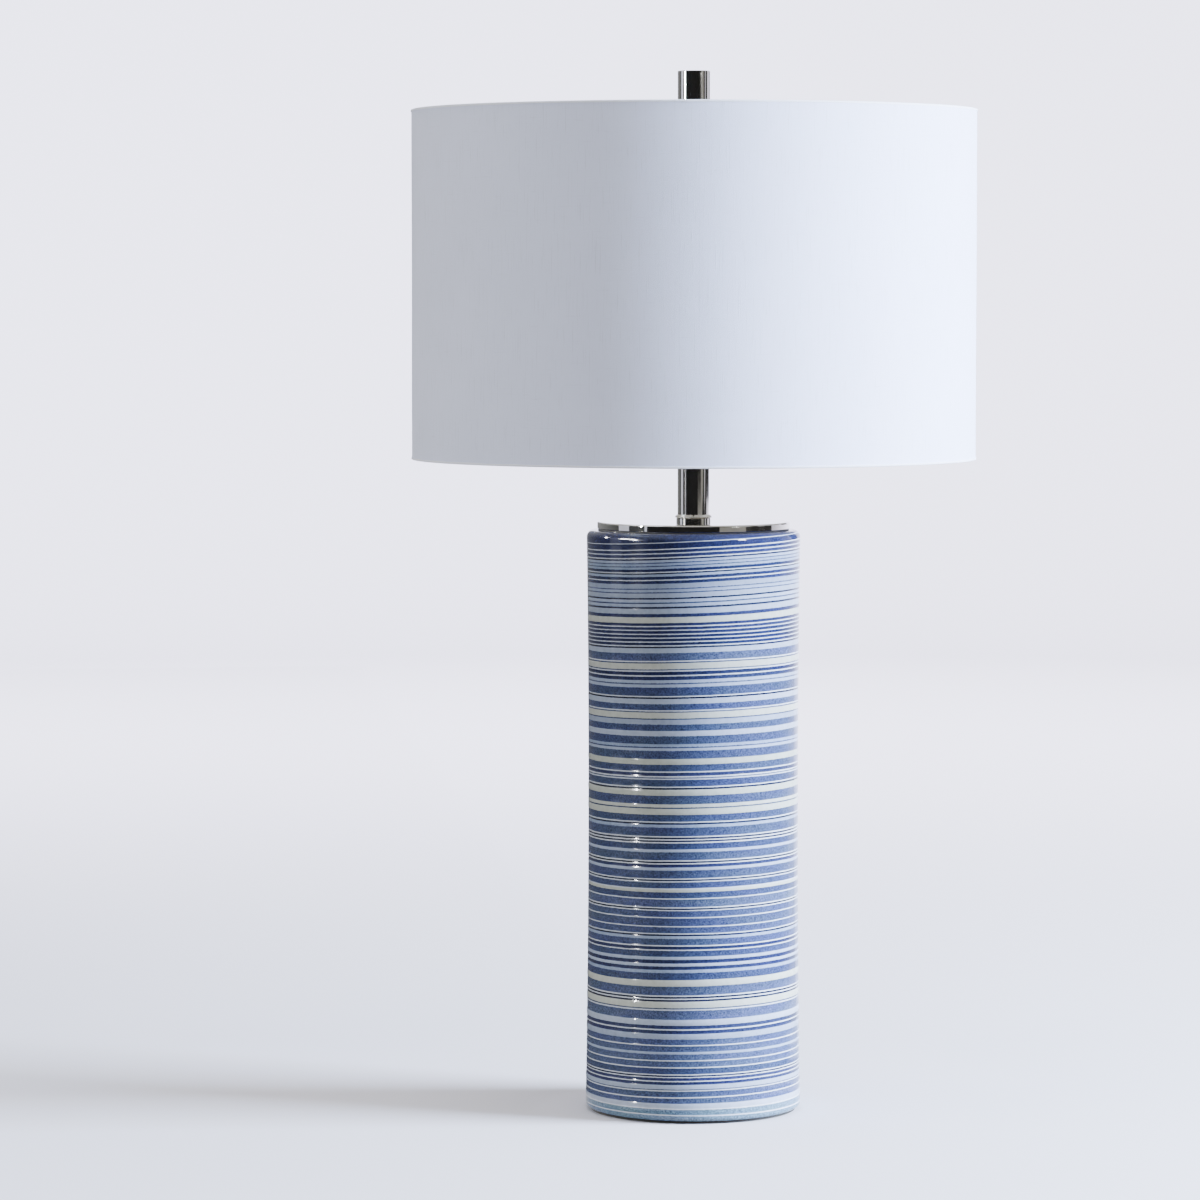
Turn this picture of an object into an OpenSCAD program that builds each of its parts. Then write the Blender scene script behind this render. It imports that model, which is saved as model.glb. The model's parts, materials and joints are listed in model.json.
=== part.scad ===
// Table lamp: a glazed ceramic column with a metal cap and neck, a harp,
// a lampholder with a screw-in bulb, and a linen drum shade held by a finial.
// Z is up and the lamp stands on z = 0. The harp lies in the XZ plane,
// the switch knob faces -Y and the cord inlet is at the back, towards +Y.

/* [Ceramic column] */
// Height of the column's flat top above the table
column_top = 420; // [400:1:440]
// Outside diameter just below the top shoulder
column_top_d = 154; // [153:0.5:156]
// Outside diameter at the waist
column_waist_d = 151.5; // [150:0.5:153]
// Outside diameter at the foot
column_foot_d = 155.5; // [154:0.5:157]
// Height of the narrowest section above the table
waist_height = 230; // [200:1:260]
// Inside diameter of the column
column_bore_d = 140; // [136:1:142]
// Radius of the rounded top shoulder
shoulder_r = 5; // [3:0.5:10]
// Radius of the rounded foot edge
foot_r = 3; // [2:0.5:4]

/* [Base] */
// Thickness of the felt pad
pad_h = 2; // [1.5:0.5:3]
// Diameter of the felt pad
pad_d = 149; // [145:1:150]
// Thickness of the base weight
weight_h = 12; // [12:1:20]
// Height of the cord inlet's centre above the table
inlet_height = 26; // [26:1:40]
// Diameter of the hole through the inlet bushing
inlet_d = 6.8; // [6:0.1:7.6]

/* [Metal cap and neck] */
// Diameter of the cap on the column
cap_d = 138.8; // [130:0.2:140]
// Height of the cap
cap_h = 5; // [4:0.5:8]
// Outside diameter of the neck tube
neck_d = 23; // [22.6:0.2:25]
// Length of the neck tube
neck_h = 54; // [45:1:70]
// Largest diameter of the ring at the neck's foot
neck_ring_d = 26.6; // [26:0.2:30]

/* [Harp] */
// Diameter of the harp wire
wire_d = 3.2; // [3:0.1:3.4]
// Height of the harp's top wire above the saddle
harp_rise = 207; // [200:1:215]
// Distance between the two long sides of the harp
harp_w = 112; // [104:1:116]

/* [Shade] */
// Outside diameter of the shade
shade_d = 406.4; // [400:0.2:410]
// Height of the shade
shade_h = 250.4; // [240:0.2:260]
// Depth of the spider's seat below the top rim
spider_drop = 22.4; // [20:0.2:26]

/* [Finial] */
// Diameter of the finial
finial_d = 23.4; // [22:0.2:24]
// Length of the finial
finial_h = 46.9; // [40:0.1:50]

/* [Lampholder and bulb] */
// Outside diameter of the lampholder's shell
shell_d = 32.8; // [32.8:0.1:33]
// Outside diameter of the bulb's threaded cap, without its ridges
bulb_cap_d = 25.2; // [25:0.1:25.3]
// Largest diameter of the bulb
bulb_d = 60.6; // [58:0.2:62]

/* [Hidden] */
$fn = 96;

// Pipe and nuts: 1/8 IP lamp pipe
rod_r = 4.9;
rod_bore_r = 3.3;
rod_hole_r = rod_r + 0.1;
nut_across = 14.3;

// Levels of the base
recess_top = pad_h + 8;
washer_h = 1.4;
base_nut_h = 4.2;
rod_bottom = pad_h + 0.6;

// Levels from the column's top up to the lampholder
gasket_h = 1;
cap_z = column_top + gasket_h;
cap_sheet = 1.5;
neck_ring_z = cap_z + cap_h;
neck_ring_h = 5;
neck_z = neck_ring_z + neck_ring_h;
neck_wall = 1.3;
neck_top_ring_h = 3;
spigot_h = 3;
saddle_z = neck_z + neck_h + neck_top_ring_h;
strip_h = 2;
lock_nut_h = 3.5;
socket_z = saddle_z + strip_h + lock_nut_h;
rod_top = socket_z + 8.5;

// Base weight and the column's hollow
weight_r = 72;
seat_r = weight_r + 0.3;
column_slab = 8;
inlet_hole_r = 6.2;
bushing_flange_r = 8.5;
bushing_proud = 2.2;
waist_sweep = waist_radius(column_top - shoulder_r, column_top_d / 2);
foot_sweep = waist_radius(pad_h + foot_r, column_foot_d / 2);

// Saddle, harp and ferrules: x positions are measured from the lamp's axis
ferrule_x = 28;
ferrule_r = 5.3;
ferrule_bore_r = 4.5;
ferrule_h = 14;
ferrule_z = saddle_z + 6;
post_t = 2;
post_x = ferrule_x - 2.8;
post_w = 6;
post_top = saddle_z + 18;
saddle_w = 12;
saddle_bend_r = 1.5;
leg_x = ferrule_x + 1.25;
leg_foot_z = ferrule_z + 0.4;
leg_bend_z = saddle_z + 36;
lean = 25;
lean_r = 30;
top_bend_r = 46;
harp_top_z = saddle_z + harp_rise;
eye_r = 7.5;
wire_r = wire_d / 2;
ball_r = wire_r + 0.04;
ball_gap = 0.05;
seat_z = harp_top_z + wire_r + 2.4;
stud_r = 3.1;
stud_h = 14;
rivet_r = 2.5;

// Shade: sheet thicknesses and the rings that carry them
shade_top = seat_z + spider_drop;
shade_bottom = shade_top - shade_h;
hem_t = 0.5;
hem_out_h = 1.5;
hem_in_h = 5;
cover_r = shade_d / 2 - hem_t;
cover_t = 0.8;
liner_t = 0.6;
liner_r = cover_r - cover_t;
ring_r = liner_r - liner_t - wire_r - 0.1;
ring_inset = hem_t + 0.1 + wire_r;
hem_in_r = ring_r - wire_r - 0.1;
spoke_d = 3;
spoke_angles = [90, 210, 330];
hub_r = 12;
hub_h = 2;
hub_hole_r = 3.6;
spoke_start = 9;

// Finial: it sits on a washer above the spider's hub
finial_washer_h = 1.5;
finial_z = seat_z + hub_h + finial_washer_h;
insert_r = 5.95;
insert_bore_r = 3.18;
insert_h = 15;
finial_bore_r = 6;

// Lampholder levels
cup_h = 16.5;
cup_wall = 1;
cup_hub_r = 8.5;
shell_t = 0.9;
shell_r = shell_d / 2;
shell_z = socket_z + 12.5;
shell_top = socket_z + 55.5;
sleeve_r = shell_r - 1.1;
sleeve_t = 0.7;
core_z = socket_z + 10.5;
core_r = 12.5;
core_h = 17;
core_top = core_z + core_h;
thread_in_r = 13.35;
thread_out_r = 13.75;
thread_h = 25;
switch_z = core_z + 10.4;
stem_r = 1.9;
knob_r = 5.2;
knob_gap_y = shell_r + 2.4;
knob_len = 13;
flutes = 16;

// Bulb levels, from its contact upwards
thread_pitch = 3.629;
contact_z = core_top + 2.3;
insulator_z = contact_z + 1.5;
bulb_cap_z = contact_z + 4.7;
bulb_cap_r = bulb_cap_d / 2;
bulb_cap_top = contact_z + 26.3;
cap_skin = 0.5;
housing_neck_r = bulb_cap_r - cap_skin - 0.1;
housing_z = contact_z + 26.4;
housing_top = contact_z + 64.7;
flare_start_r = bulb_cap_r + 0.8;
bulb_r = bulb_d / 2;
bulb_wall = 1.2;
dome_z = housing_top + 8;
rim_r = sqrt(pow(bulb_r, 2) - pow(dome_z - housing_top, 2));
led_count = 10;

// Points along an arc from angle a0 to angle a1 about (x, z)
function arc(x, z, r, a0, a1, steps = 12) =
    [for (i = [0:steps]) let (a = a0 + (a1 - a0) * i / steps) [x + r * cos(a), z + r * sin(a)]];

// How fast the column's side swells away from its waist
function waist_radius(z, r) = (r - column_waist_d / 2) / pow(z - waist_height, 2);

// Radius of the column's side at height z
function column_r(z) =
    column_waist_d / 2 + (z > waist_height ? waist_sweep : foot_sweep) * pow(z - waist_height, 2);

// Radius of the bulb housing's flare, t from 0 at its foot to 1 at its rim
function flare_r(t) = flare_start_r + (rim_r - flare_start_r) * (1 - cos(180 * t)) / 2;

module ring(r_out, r_in, z, h) {
    translate([0, 0, z])
        difference() {
            cylinder(r = r_out, h = h);
            translate([0, 0, -1]) cylinder(r = r_in, h = h + 2);
        }
}

module hex_nut(z, h) {
    translate([0, 0, z])
        difference() {
            cylinder(d = nut_across / cos(30), h = h, $fn = 6);
            translate([0, 0, -1]) cylinder(r = rod_hole_r, h = h + 2);
        }
}

// A cylinder along Y, from y0 to y1, at height z
module along_y(r, y0, y1, z) {
    translate([0, y0, z]) rotate([-90, 0, 0]) cylinder(r = r, h = y1 - y0);
}

// ---- Base ----

module felt_pad() {
    color("#1b1b1c") cylinder(d = pad_d, h = pad_h);
}

module base_weight() {
    color("#3b3c3e")
        difference() {
            ring(weight_r, rod_hole_r, pad_h, weight_h);
            translate([0, 0, pad_h - 1]) cylinder(r = 13, h = recess_top - pad_h + 1);
        }
}

module base_washer() {
    color("#b8b8b4") ring(11, rod_hole_r, recess_top - washer_h, washer_h);
}

module base_lock_washer() {
    color("#a9a9a5")
        difference() {
            ring(8, rod_hole_r, recess_top - 2 * washer_h, washer_h);
            translate([0, -0.6, recess_top - 2 * washer_h - 1]) cube([10, 1.2, washer_h + 2]);
        }
}

module base_nut() {
    color("#a9a9a5") hex_nut(recess_top - 2 * washer_h - base_nut_h, base_nut_h);
}

// ---- Ceramic column ----

module ceramic_column() {
    side_low = pad_h + foot_r;
    side_high = column_top - shoulder_r;
    side_steps = 24;
    foot_x = column_r(side_low) - foot_r;
    shoulder_x = column_r(side_high) - shoulder_r;
    outline = concat(
        [[0, pad_h]],
        arc(foot_x, side_low, foot_r, -90, 0, 8),
        [for (i = [1:side_steps - 1])
            let (z = side_low + (side_high - side_low) * i / side_steps) [column_r(z), z]],
        arc(shoulder_x, side_high, shoulder_r, 0, 90, 16),
        [[0, column_top]]
    );
    color("#7f93bb")
        difference() {
            rotate_extrude($fn = 180) polygon(outline);
            translate([0, 0, pad_h - 1])
                cylinder(d = column_bore_d, h = column_top - column_slab - pad_h + 1);
            translate([0, 0, pad_h - 1]) cylinder(r = seat_r, h = weight_h + 1);
            translate([0, 0, column_top - column_slab - 1]) cylinder(r = 7, h = column_slab + 2);
            along_y(inlet_hole_r, column_bore_d / 2 - 5, column_foot_d / 2 + 5, inlet_height);
        }
}

// A plastic bushing that clips over both faces of the column's wall
module cord_bushing() {
    inner_y = column_bore_d / 2 - 2.4;
    outer_y = column_r(inlet_height) + bushing_proud;
    color("#20201f")
        difference() {
            along_y(bushing_flange_r, inner_y, outer_y, inlet_height);
            ceramic_column();
            along_y(inlet_d / 2, inner_y - 1, outer_y + 1, inlet_height);
        }
}

module threaded_rod() {
    color("#b9b6a8")
        difference() {
            ring(rod_r, rod_bore_r, rod_bottom, rod_top - rod_bottom);
            along_y(2.8, 0, rod_r + 1, inlet_height);
        }
}

// ---- Metal cap and neck ----

module cap_gasket() {
    color("#161616") ring(cap_d / 2 - 0.6, 62, column_top, gasket_h);
}

module column_cap() {
    r = cap_d / 2;
    edge_r = 1.2;
    outline = concat(
        [[0, cap_z], [r - 0.4, cap_z], [r, cap_z + 0.4]],
        arc(r - edge_r, cap_z + cap_h - edge_r, edge_r, 0, 90, 6),
        [[0, cap_z + cap_h]]
    );
    color("#c9c6c0")
        difference() {
            rotate_extrude($fn = 180) polygon(outline);
            translate([0, 0, cap_z - 1]) cylinder(r = r - cap_sheet, h = cap_h - cap_sheet + 1);
            translate([0, 0, cap_z - 1]) cylinder(r = rod_hole_r, h = cap_h + 2);
        }
}

module neck_ring() {
    r = neck_ring_d / 2;
    z = neck_ring_z;
    outline = concat(
        [[0, z], [r - 0.9, z], [r - 0.9, z + 2.2], [r - 1.4, z + 2.5]],
        arc(r - 0.7, z + 3.4, 0.7, -90, 60, 6),
        [[neck_d / 2 + 0.2, z + neck_ring_h], [0, z + neck_ring_h]]
    );
    color("#c9c6c0")
        difference() {
            union() {
                rotate_extrude() polygon(outline);
                translate([0, 0, z + 1])
                    cylinder(r = neck_d / 2 - neck_wall - 0.1, h = neck_ring_h - 1 + spigot_h);
            }
            translate([0, 0, z - 1]) cylinder(r = rod_hole_r, h = neck_ring_h + spigot_h + 2);
        }
}

module neck_tube() {
    color("#c9c6c0") ring(neck_d / 2, neck_d / 2 - neck_wall, neck_z, neck_h);
}

module neck_top_ring() {
    z = neck_z + neck_h;
    color("#c9c6c0")
        difference() {
            union() {
                translate([0, 0, z]) cylinder(r = neck_d / 2 + 0.8, h = neck_top_ring_h);
                translate([0, 0, z - spigot_h])
                    cylinder(r = neck_d / 2 - neck_wall - 0.1, h = spigot_h + 1);
            }
            translate([0, 0, z - spigot_h - 1])
                cylinder(r = rod_hole_r, h = neck_top_ring_h + spigot_h + 2);
        }
}

// ---- Harp ----

// One bent arm of the saddle, towards +X, w wide and up to height z1
module saddle_strip(w, z0, z1) {
    bend_x = post_x - saddle_bend_r;
    bend_z = saddle_z + strip_h + saddle_bend_r;
    bend_out = saddle_bend_r + post_t;
    intersection() {
        rotate([90, 0, 0])
            linear_extrude(height = w, center = true) {
                translate([0, saddle_z]) square([bend_x, strip_h]);
                intersection() {
                    translate([bend_x, bend_z])
                        difference() {
                            circle(r = bend_out);
                            circle(r = saddle_bend_r);
                        }
                    translate([bend_x, saddle_z]) square(bend_out);
                }
                translate([post_x, bend_z]) square([post_t, post_top - bend_z]);
            }
        translate([0, -w, z0]) cube([60, 2 * w, z1 - z0]);
    }
}

module saddle_side() {
    saddle_strip(saddle_w, saddle_z, ferrule_z);
    saddle_strip(post_w, ferrule_z - 1, post_top);
    translate([post_x + post_t - 0.5, -post_w / 2, ferrule_z - 2.4]) cube([4.5, post_w, 2.4]);
}

module harp_saddle() {
    color("#bdbab2")
        difference() {
            union() {
                saddle_side();
                mirror([1, 0, 0]) saddle_side();
                translate([0, 0, saddle_z]) cylinder(r = 10, h = strip_h);
            }
            translate([0, 0, saddle_z - 1]) cylinder(r = rod_hole_r, h = strip_h + 2);
        }
}

module saddle_nut() {
    color("#a9a9a5") hex_nut(saddle_z + strip_h, lock_nut_h);
}

// A bend of the harp wire in the XZ plane, about (x, z)
module wire_bend(x, z, r, start, sweep) {
    translate([x, 0, z])
        rotate([90, 0, 0])
            rotate([0, 0, start])
                rotate_extrude(angle = sweep) translate([r, 0]) circle(r = wire_r, $fn = 32);
}

// A straight length of the harp wire, leaning by angle from the vertical.
// It stops short of the bend at each end, and a ball closes that gap.
module wire_run(x, z, angle, length) {
    translate([x, 0, z]) rotate([0, angle, 0]) {
        translate([0, 0, ball_gap]) cylinder(r = wire_r, h = length - 2 * ball_gap, $fn = 32);
        sphere(r = ball_r, $fn = 32);
        translate([0, 0, length]) sphere(r = ball_r, $fn = 32);
    }
}

module harp_side() {
    side_x = harp_w / 2;
    shift = lean_r * (1 - cos(lean));
    slope = (side_x - leg_x - 2 * shift) / sin(lean);
    side_z = leg_bend_z + 2 * lean_r * sin(lean) + slope * cos(lean);
    arc_z = harp_top_z - top_bend_r;
    wire_run(leg_x, leg_foot_z + ball_r, 0, leg_bend_z - leg_foot_z - ball_r);
    wire_bend(leg_x + lean_r, leg_bend_z, lean_r, 180 - lean, lean);
    wire_run(leg_x + shift, leg_bend_z + lean_r * sin(lean), lean, slope);
    wire_bend(side_x - lean_r, side_z, lean_r, -lean, lean);
    wire_run(side_x, side_z, 0, arc_z - side_z);
    wire_bend(side_x - top_bend_r, arc_z, top_bend_r, 0, 90);
    translate([0, 0, harp_top_z])
        rotate([0, 90, 0]) cylinder(r = wire_r, h = side_x - top_bend_r - ball_gap, $fn = 32);
    translate([side_x - top_bend_r, 0, harp_top_z]) sphere(r = ball_r, $fn = 32);
}

module harp_wire() {
    color("#bdbab2")
        difference() {
            union() {
                harp_side();
                mirror([1, 0, 0]) harp_side();
                translate([0, 0, harp_top_z - wire_r]) cylinder(r = eye_r, h = wire_d);
            }
            translate([0, 0, harp_top_z - wire_r - 1]) cylinder(r = rivet_r + 0.05, h = wire_d + 2);
        }
}

// The riveted stud that passes through the shade's spider
module harp_stud() {
    color("#bdbab2") {
        translate([0, 0, harp_top_z - wire_r - 1.4]) cylinder(r = 4.5, h = 1.4);
        translate([0, 0, harp_top_z - wire_r - 0.5]) cylinder(r = rivet_r, h = wire_d + 1);
        translate([0, 0, harp_top_z + wire_r]) cylinder(r = 6.5, h = seat_z - harp_top_z - wire_r);
        translate([0, 0, seat_z - 0.5]) cylinder(r = stud_r, h = stud_h + 0.5);
    }
}

module ferrule(side) {
    color("#bdbab2")
        translate([side * ferrule_x, 0, 0]) ring(ferrule_r, ferrule_bore_r, ferrule_z, ferrule_h);
}

module ferrule_left() {
    ferrule(-1);
}

module ferrule_right() {
    ferrule(1);
}

// ---- Lampholder ----

module socket_cap() {
    z = socket_z;
    cup_r = shell_r + 1.2;
    outline = [
        [rod_hole_r, z], [cup_hub_r, z], [cup_hub_r, z + 4.2], [cup_r - 1.2, z + 9.5],
        [cup_r, z + 11], [cup_r, z + cup_h], [cup_r - cup_wall, z + cup_h],
        [cup_r - cup_wall, z + 11.4], [cup_hub_r + 0.4, z + 6], [rod_hole_r, z + 6]
    ];
    color("#bdbab2")
        difference() {
            rotate_extrude() polygon(outline);
            translate([rod_r, 0, z + 2]) rotate([0, 90, 0]) cylinder(r = 1, h = cup_hub_r);
        }
}

module socket_set_screw() {
    color("#9a9a96")
        translate([rod_r + 0.3, 0, socket_z + 2]) rotate([0, 90, 0]) {
            cylinder(r = 0.95, h = cup_hub_r - rod_r);
            difference() {
                translate([0, 0, cup_hub_r - rod_r - 0.2]) cylinder(r = 1.7, h = 1.5);
                translate([-2, -0.25, cup_hub_r - rod_r + 0.8]) cube([4, 0.5, 1]);
            }
        }
}

module socket_core() {
    color("#26201c")
        difference() {
            translate([0, 0, core_z]) cylinder(r = core_r, h = core_h);
            along_y(stem_r + 0.07, -core_r - 1, 3, switch_z);
            for (side = [-1, 1])
                translate([side * (core_r - 4), 0, switch_z])
                    rotate([0, side * 90, 0]) cylinder(r = 1.65, h = 6);
        }
}

// Two slotted screws, one at each side of the core
module terminal_screws() {
    color("#b9964f")
        for (side = [-1, 1])
            translate([side * (core_r - 3.6), 0, switch_z]) rotate([0, side * 90, 0]) {
                cylinder(r = 1.6, h = 4);
                difference() {
                    translate([0, 0, 3.6]) cylinder(r = 2.9, h = 1.3);
                    translate([-3, -0.35, 4.4]) cube([6, 0.7, 1]);
                }
            }
}

module screw_shell() {
    color("#c9a24e") {
        ring(thread_out_r, thread_in_r, core_top, thread_h);
        ring(thread_out_r - 0.2, 6, core_top, 0.6);
    }
}

module centre_contact() {
    color("#c9a24e") {
        translate([0, 0, core_top]) cylinder(r = 4.5, h = 0.8);
        translate([0, 0, core_top + 0.4]) cylinder(r = 2.2, h = 1.5);
    }
}

module socket_sleeve() {
    color("#9c7a55")
        difference() {
            ring(sleeve_r, sleeve_r - sleeve_t, shell_z - 0.4, shell_top - shell_z - 0.8);
            along_y(3, -sleeve_r - 1, 0, switch_z);
        }
}

module socket_shell() {
    lip = 1.9;
    color("#bdbab2")
        difference() {
            union() {
                ring(shell_r, shell_r - shell_t, shell_z - 0.4, shell_top - shell_z + 0.4);
                ring(shell_r - 0.3, shell_r - lip, shell_top - 1, 1);
            }
            along_y(4.3, -shell_r - 1, 0, switch_z);
        }
}

module switch_bushing() {
    color("#1d1c1b")
        difference() {
            along_y(4.2, -knob_gap_y + 0.6, -sleeve_r - 0.1, switch_z);
            along_y(stem_r + 0.35, -knob_gap_y - 1, -sleeve_r + 1, switch_z);
        }
}

module switch_stem() {
    color("#b9964f") along_y(stem_r, -knob_gap_y - knob_len + 3, 2.6, switch_z);
}

module switch_knob() {
    end_y = -knob_gap_y - knob_len;
    color("#1d1c1b")
        difference() {
            along_y(knob_r, end_y, -knob_gap_y, switch_z);
            along_y(stem_r + 0.05, end_y + 2.6, -knob_gap_y + 1, switch_z);
            for (i = [0:flutes - 1])
                translate([knob_r * 1.04 * cos(i * 360 / flutes), 0, knob_r * 1.04 * sin(i * 360 / flutes)])
                    along_y(0.6, end_y + 1.2, -knob_gap_y + 1, switch_z);
        }
}

// ---- Bulb ----

module bulb_contact() {
    color("#c8c7c2") translate([0, 0, contact_z]) cylinder(r = 4.5, h = 1.8);
}

module bulb_insulator() {
    z = insulator_z;
    color("#17161a")
        rotate_extrude()
            polygon([[0, z + 0.3], [4.5, z + 0.3], [4.5, z], [5.2, z], [9, z + 2.8], [9, z + 4.2], [0, z + 4.2]]);
}

module bulb_cap() {
    r = bulb_cap_r;
    z = bulb_cap_z;
    outline = [
        [9.05, z], [10.8, z], [r, z + 3], [r, bulb_cap_top], [r - cap_skin, bulb_cap_top],
        [r - cap_skin, z + 3.2], [10.6, z + 0.6], [9.05, z + 0.6]
    ];
    color("#c8c7c2") {
        rotate_extrude() polygon(outline);
        for (i = [0:4])
            translate([0, 0, z + 5 + i * thread_pitch])
                rotate_extrude() translate([r - 0.05, 0]) circle(r = 0.4, $fn = 24);
    }
}

module bulb_housing() {
    steps = 14;
    neck_z = housing_z - 9;
    flare = [for (i = [0:steps]) [flare_r(i / steps), housing_z + (housing_top - housing_z) * i / steps]];
    hollow = [for (i = [steps:-1:1])
        [flare_r(i / steps) - bulb_wall, housing_z + (housing_top - housing_z) * i / steps]];
    color("#f1f0ec")
        rotate_extrude()
            polygon(concat(
                [[housing_neck_r - bulb_wall, neck_z], [housing_neck_r, neck_z], [housing_neck_r, housing_z]],
                flare,
                hollow,
                [[housing_neck_r - bulb_wall, housing_z + bulb_wall]]
            ));
}

module led_board() {
    board_r = rim_r - bulb_wall - 1.2;
    board_z = housing_top - 2;
    color("#e9e6d8") {
        translate([0, 0, board_z]) cylinder(r = board_r, h = 1.6);
        for (i = [0:led_count - 1])
            rotate([0, 0, i * 360 / led_count])
                translate([16, -1.4, board_z + 1.2]) cube([2.8, 2.8, 1.2]);
    }
}

module bulb_diffuser() {
    foot_angle = -asin((dome_z - housing_top) / bulb_r);
    inner_r = bulb_r - bulb_wall;
    inner_foot = -asin((dome_z - housing_top) / inner_r);
    color("#f6f5f0")
        rotate_extrude()
            polygon(concat(
                arc(0, dome_z, bulb_r, foot_angle, 90, 24),
                arc(0, dome_z, inner_r, 90, inner_foot, 24)
            ));
}

// ---- Shade ----

module spoke(angle) {
    run = ring_r - spoke_start;
    rise = shade_top - ring_inset - seat_z - hub_h / 2;
    rotate([0, 0, angle])
        translate([spoke_start, 0, seat_z + hub_h / 2])
            rotate([0, 90 - atan2(rise, run), 0])
                cylinder(d = spoke_d, h = norm([run, rise]), $fn = 32);
}

module spider_frame() {
    color("#d6d5d0")
        difference() {
            union() {
                translate([0, 0, seat_z]) cylinder(r = hub_r, h = hub_h);
                for (angle = spoke_angles) spoke(angle);
                translate([0, 0, shade_top - ring_inset])
                    rotate_extrude($fn = 180) translate([ring_r, 0]) circle(r = wire_r, $fn = 32);
            }
            translate([0, 0, seat_z - 1]) cylinder(r = hub_hole_r, h = hub_h + 2);
        }
}

module bottom_ring() {
    color("#d6d5d0")
        translate([0, 0, shade_bottom + ring_inset])
            rotate_extrude($fn = 180) translate([ring_r, 0]) circle(r = wire_r, $fn = 32);
}

module shade_liner() {
    color("#f3f2ee")
        ring(liner_r, liner_r - liner_t, shade_bottom + hem_t, shade_h - 2 * hem_t, $fn = 180);
}

module shade_cover() {
    color("#f1f2f4")
        ring(cover_r, liner_r, shade_bottom + hem_t, shade_h - 2 * hem_t, $fn = 180);
}

// A rim tape that folds over the sheet and the ring wire.
// up is 1 at the top rim and -1 at the bottom rim.
module hem(rim_z, up) {
    out_r = cover_r + hem_t;
    section = [
        [cover_r, -hem_out_h], [out_r, -hem_out_h], [out_r, 0], [hem_in_r - hem_t, 0],
        [hem_in_r - hem_t, -hem_in_h], [hem_in_r, -hem_in_h], [hem_in_r, -hem_t], [cover_r, -hem_t]
    ];
    rotate_extrude($fn = 180) polygon([for (p = section) [p.x, rim_z + up * p.y]]);
}

module top_hem() {
    notch_r = spoke_d / 2 + 0.15;
    color("#eceef1")
        difference() {
            hem(shade_top, 1);
            for (angle = spoke_angles)
                rotate([0, 0, angle]) translate([hem_in_r - 3, 0, 0]) {
                    translate([0, 0, shade_top - ring_inset])
                        rotate([0, 90, 0]) cylinder(r = notch_r, h = 4);
                    translate([0, -notch_r, shade_top - hem_in_h - 1])
                        cube([4, 2 * notch_r, hem_in_h + 1 - ring_inset]);
                }
        }
}

module bottom_hem() {
    color("#eceef1") hem(shade_bottom, -1);
}

// ---- Finial ----

module finial_washer() {
    color("#e6e4de") ring(8, hub_hole_r, seat_z + hub_h, finial_washer_h);
}

module finial_insert() {
    color("#c9a24e") ring(insert_r, insert_bore_r, finial_z + 0.3, insert_h);
}

module finial() {
    r = finial_d / 2;
    edge_r = 0.6;
    outline = concat(
        [[0, finial_z], [r - 0.4, finial_z], [r, finial_z + 0.4]],
        arc(r - edge_r, finial_z + finial_h - edge_r, edge_r, 0, 90, 4),
        [[0, finial_z + finial_h]]
    );
    color("#c9c6c0")
        difference() {
            rotate_extrude() polygon(outline);
            translate([0, 0, finial_z - 1]) cylinder(r = finial_bore_r, h = insert_h + 2);
        }
}

felt_pad();
base_weight();
base_washer();
base_lock_washer();
base_nut();
ceramic_column();
cord_bushing();
threaded_rod();
cap_gasket();
column_cap();
neck_ring();
neck_tube();
neck_top_ring();
harp_saddle();
saddle_nut();
harp_wire();
harp_stud();
ferrule_left();
ferrule_right();
socket_cap();
socket_set_screw();
socket_core();
terminal_screws();
screw_shell();
centre_contact();
socket_sleeve();
socket_shell();
switch_bushing();
switch_stem();
switch_knob();
bulb_contact();
bulb_insulator();
bulb_cap();
bulb_housing();
led_board();
bulb_diffuser();
spider_frame();
bottom_ring();
shade_liner();
shade_cover();
top_hem();
bottom_hem();
finial_washer();
finial_insert();
finial();
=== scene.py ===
import json
import math
import random

import bmesh
import bpy
import numpy as np
from mathutils import Matrix, Vector


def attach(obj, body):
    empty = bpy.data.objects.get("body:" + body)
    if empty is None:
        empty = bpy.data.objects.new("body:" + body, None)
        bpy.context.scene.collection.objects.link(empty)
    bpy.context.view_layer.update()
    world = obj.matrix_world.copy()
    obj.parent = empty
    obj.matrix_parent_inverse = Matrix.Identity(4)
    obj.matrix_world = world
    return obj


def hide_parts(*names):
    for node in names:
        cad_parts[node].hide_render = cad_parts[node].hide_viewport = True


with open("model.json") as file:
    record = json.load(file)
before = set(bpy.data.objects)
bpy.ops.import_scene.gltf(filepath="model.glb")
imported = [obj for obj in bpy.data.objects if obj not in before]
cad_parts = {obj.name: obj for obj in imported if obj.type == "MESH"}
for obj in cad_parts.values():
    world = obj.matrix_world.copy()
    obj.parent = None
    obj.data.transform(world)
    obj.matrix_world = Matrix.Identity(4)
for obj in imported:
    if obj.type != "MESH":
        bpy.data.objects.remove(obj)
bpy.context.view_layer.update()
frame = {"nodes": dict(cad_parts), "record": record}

MM = 0.001
nodes = frame["nodes"]

# ---------------------------------------------------------------- camera
CAMERA_PLACE, CAMERA_DOWN = (-0.0674, -3.603, 0.5925), 3.548
LENS, SENSOR = 150, 36
camera = bpy.data.objects.new("camera", bpy.data.cameras.new("camera"))
bpy.context.scene.collection.objects.link(camera)
camera.location = CAMERA_PLACE
camera.rotation_euler = (math.radians(90 - CAMERA_DOWN), 0, 0)
camera.data.lens = LENS
camera.data.sensor_width = SENSOR
camera.data.clip_end = 60
bpy.context.scene.camera = camera


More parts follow.
